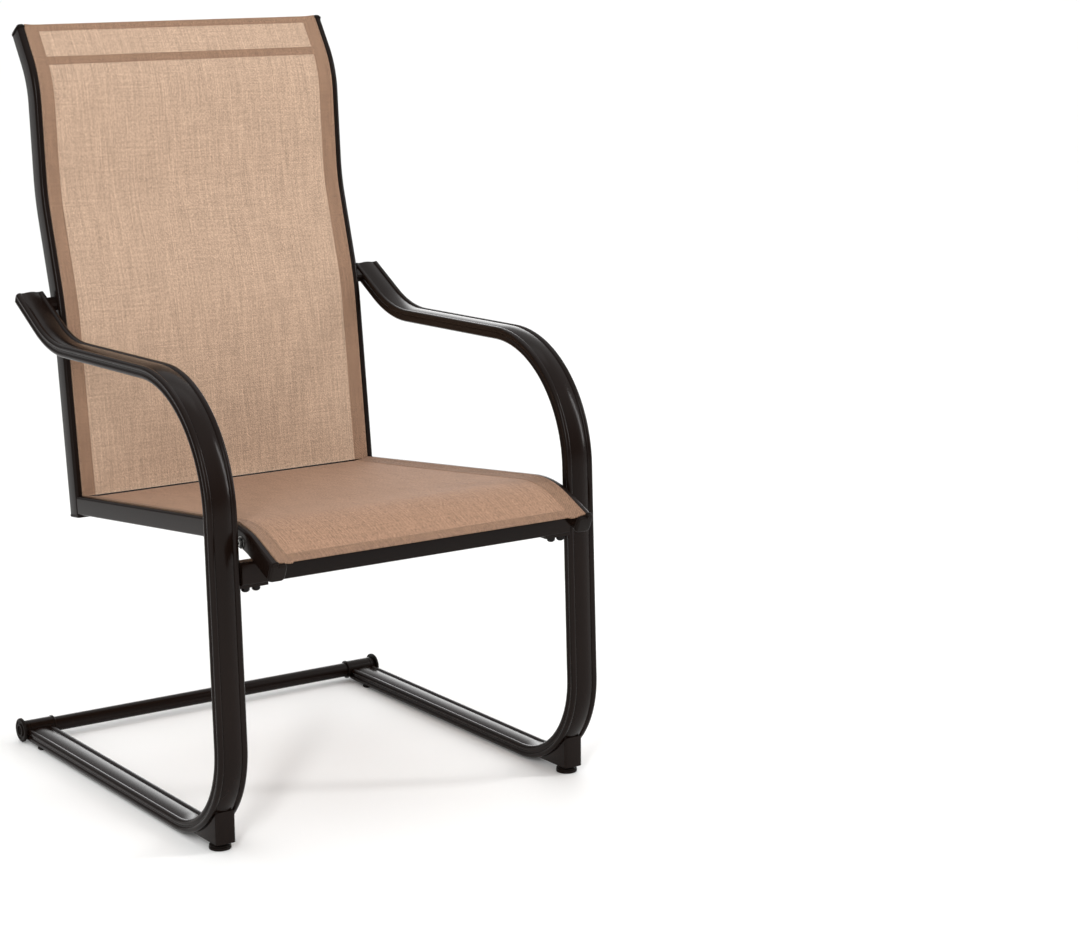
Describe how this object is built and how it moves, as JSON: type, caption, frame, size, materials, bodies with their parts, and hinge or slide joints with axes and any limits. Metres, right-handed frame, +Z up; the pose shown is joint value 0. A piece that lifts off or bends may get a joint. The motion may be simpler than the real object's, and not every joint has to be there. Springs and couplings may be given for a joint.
{
  "type": "patio dining armchair",
  "caption": "Patio dining armchair with C-shaped spring tube frame in dark powder coat and tan mesh slings for seat and back",
  "frame": {"origin": "centre of the footprint on the floor, under the middle of the overall box", "axes": "X across the chair with +X on the sitter's left, -Y is the front, Z up"},
  "size_m": [0.6132, 0.738, 1.0504],
  "materials": {
    "coated_steel": "glossy powder coat",
    "black_plastic": "satin",
    "zinc_steel": "plated",
    "sling_mesh": "woven mesh"
  },
  "bodies": {
    "floor_frame": {"left_foot_bracket": "coated_steel", "left_runner_tube": "coated_steel", "rear_crossbar": "coated_steel", "rear_end_caps": "black_plastic", "rear_sleeves": "coated_steel", "right_foot_bracket": "coated_steel", "right_runner_tube": "coated_steel", "runner_glides": "black_plastic"},
    "seat_frame": {"arm_lug_bolts": "zinc_steel", "back_sling": "sling_mesh", "crossbar_bolts": "zinc_steel", "front_crossbar": "coated_steel", "left_arm_end_plug": "black_plastic", "left_arm_leg_tube": "coated_steel", "left_arm_lug": "coated_steel", "left_back_bottom_plug": "black_plastic", "left_back_rail": "coated_steel", "left_back_spline": "black_plastic", "left_back_top_cap": "black_plastic", "left_crossbar_tab": "coated_steel", "left_seat_ear": "coated_steel", "left_seat_rail": "coated_steel", "left_seat_rail_cap": "black_plastic", "left_seat_spline": "black_plastic", "lower_spreader": "coated_steel", "right_arm_end_plug": "black_plastic", "right_arm_leg_tube": "coated_steel", "right_arm_lug": "coated_steel", "right_back_bottom_plug": "black_plastic", "right_back_rail": "coated_steel", "right_back_spline": "black_plastic", "right_back_top_cap": "black_plastic", "right_crossbar_tab": "coated_steel", "right_seat_ear": "coated_steel", "right_seat_rail": "coated_steel", "right_seat_rail_cap": "black_plastic", "right_seat_spline": "black_plastic", "seat_rail_bolts": "zinc_steel", "seat_sling": "sling_mesh", "spring_bends": "coated_steel", "upper_spreader": "coated_steel"},
    "left_foot": {"left_levelling_foot": "black_plastic"},
    "right_foot": {"right_levelling_foot": "black_plastic"}
  },
  "joints": [
    {"name": "spring_rock", "type": "hinge", "parent": "floor_frame", "child": "seat_frame", "pos_m": [0, -0.2946, 0.11], "axis": [-1, 0, 0], "range_deg": [-2, 6], "stiffness_Nm_per_rad": 2500, "springref_deg": -0.54, "deforming": ["spring_bends"]},
    {"name": "left_foot_screw", "type": "slide", "parent": "floor_frame", "child": "left_foot", "axis": [0, 0, -1], "range_m": [0, 0.008]},
    {"name": "right_foot_screw", "type": "slide", "parent": "floor_frame", "child": "right_foot", "axis": [0, 0, -1], "range_m": [0, 0.008]}
  ]
}
